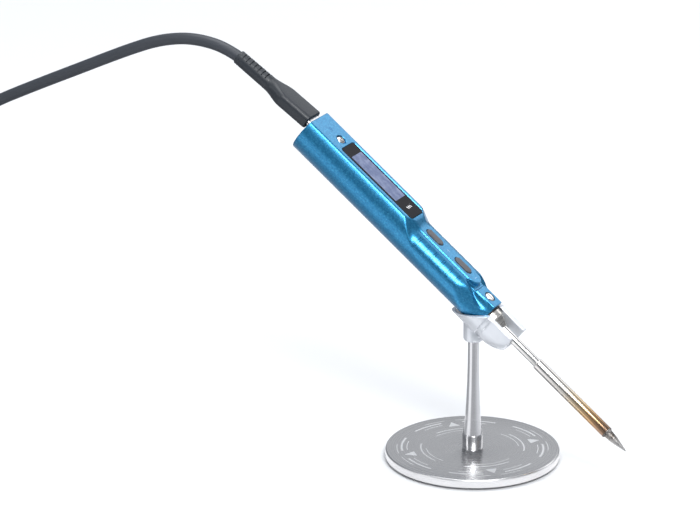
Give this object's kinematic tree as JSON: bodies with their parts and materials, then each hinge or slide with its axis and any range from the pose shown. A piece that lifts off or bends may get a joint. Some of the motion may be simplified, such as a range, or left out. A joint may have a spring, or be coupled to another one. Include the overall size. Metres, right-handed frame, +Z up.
{
  "type": "soldering iron station",
  "caption": "Pen-type soldering iron with display and keys, resting in a holder on a post with a round steel base, and its USB-C lead.",
  "frame": {"origin": "centre of the base's underside, on the surface that the stand rests on", "axes": "+Z up along the post, +X horizontally towards the iron's tip, the iron in the XZ plane"},
  "size_m": [0.3839, 0.0684, 0.1502],
  "materials": {
    "base_steel": "fine circular brushing with a light etched pattern",
    "pad_rubber": "matt black pad",
    "fastener_steel": "plain",
    "post_steel": "turned and brushed",
    "holder_paint": "satin silver-white",
    "blue_shell": "blue anodised, fine blasted grain",
    "black_plastic": "matt",
    "window_glass": "polished black window",
    "oled": "display glass, dark when off",
    "board": "solder mask",
    "chip": "moulded",
    "switch_metal": "stamped",
    "socket_metal": "stamped",
    "white_insulator": "plain",
    "gold_contact": "plated",
    "gasket_rubber": "matt",
    "collar_steel": "turned",
    "black_nut": "blackened",
    "key_plastic": "fine matt",
    "screw_steel": "bright",
    "earth_screw_steel": "bright",
    "tube_steel": "drawn tube",
    "sleeve_steel": "polished, with a heat tint towards the tip",
    "tip_plating": "dark iron plating",
    "plug_metal": "nickel plated",
    "cable_moulding": "soft matt moulding",
    "cable_jacket": "matt silicone jacket",
    "tie_fabric": "hook-and-loop strap"
  },
  "bodies": {
    "stand": {"base_disc": "base_steel", "base_pad": "pad_rubber", "base_screw": "fastener_steel", "post": "post_steel", "holder": "holder_paint", "holder_stud": "fastener_steel", "cable_lead": "cable_jacket", "cable_coil": "cable_jacket", "cable_tie": "tie_fabric", "cable_tail": "cable_jacket", "far_relief": "cable_moulding", "far_moulding": "cable_moulding", "far_shell": "plug_metal"},
    "iron": {"upper_shell": "blue_shell", "lower_shell": "blue_shell", "rear_cap": "black_plastic", "display_window": "window_glass", "oled_panel": "oled", "display_carrier": "black_plastic", "main_board": "board", "board_chips": "chip", "tact_switches": "switch_metal", "usb_socket": "socket_metal", "contact_carrier": "white_insulator", "contact_clips": "gold_contact", "nose_gasket": "gasket_rubber", "nose_collar": "collar_steel", "clamp_nut": "black_nut"},
    "rear_button": {"rear_key": "key_plastic"},
    "front_button": {"front_key": "key_plastic"},
    "cartridge": {"cartridge_tube": "tube_steel", "cartridge_insulator": "white_insulator", "cartridge_contact": "gold_contact", "heater_sleeve": "sleeve_steel", "heater_core": "white_insulator", "tip_bit": "tip_plating"},
    "tip_clamp": {"clamp_screw": "screw_steel"},
    "earth_terminal": {"earth_screw": "earth_screw_steel"},
    "usb_plug": {"plug_shell": "plug_metal", "plug_moulding": "cable_moulding", "strain_relief": "cable_moulding"}
  },
  "joints": [
    {"name": "iron_lift", "type": "slide", "parent": "stand", "child": "iron", "axis": [-0.7869, 0, 0.617], "range_m": [0, 0.08], "deforming": ["cable_lead"]},
    {"name": "rear_key_press", "type": "slide", "parent": "iron", "child": "rear_button", "axis": [-0.617, 0, -0.7869], "range_m": [0, 0.0004], "stiffness_N_per_m": 400},
    {"name": "front_key_press", "type": "slide", "parent": "iron", "child": "front_button", "axis": [-0.617, 0, -0.7869], "range_m": [0, 0.0004], "stiffness_N_per_m": 400},
    {"name": "cartridge_pull", "type": "slide", "parent": "iron", "child": "cartridge", "axis": [0.7869, 0, -0.617], "range_m": [0, 0.033]},
    {"name": "clamp_turn", "type": "hinge", "parent": "iron", "child": "tip_clamp", "pos_m": [0.00584, 0, 0.06452], "axis": [0.617, 0, 0.7869], "range_deg": [0, 180]},
    {"name": "earth_turn", "type": "hinge", "parent": "iron", "child": "earth_terminal", "pos_m": [-0.05581, 0, 0.11668], "axis": [0.617, 0, 0.7869], "range_deg": [0, 360]},
    {"name": "plug_pull", "type": "slide", "parent": "iron", "child": "usb_plug", "axis": [-0.7869, 0, 0.617], "range_m": [0, 0.01]}
  ]
}
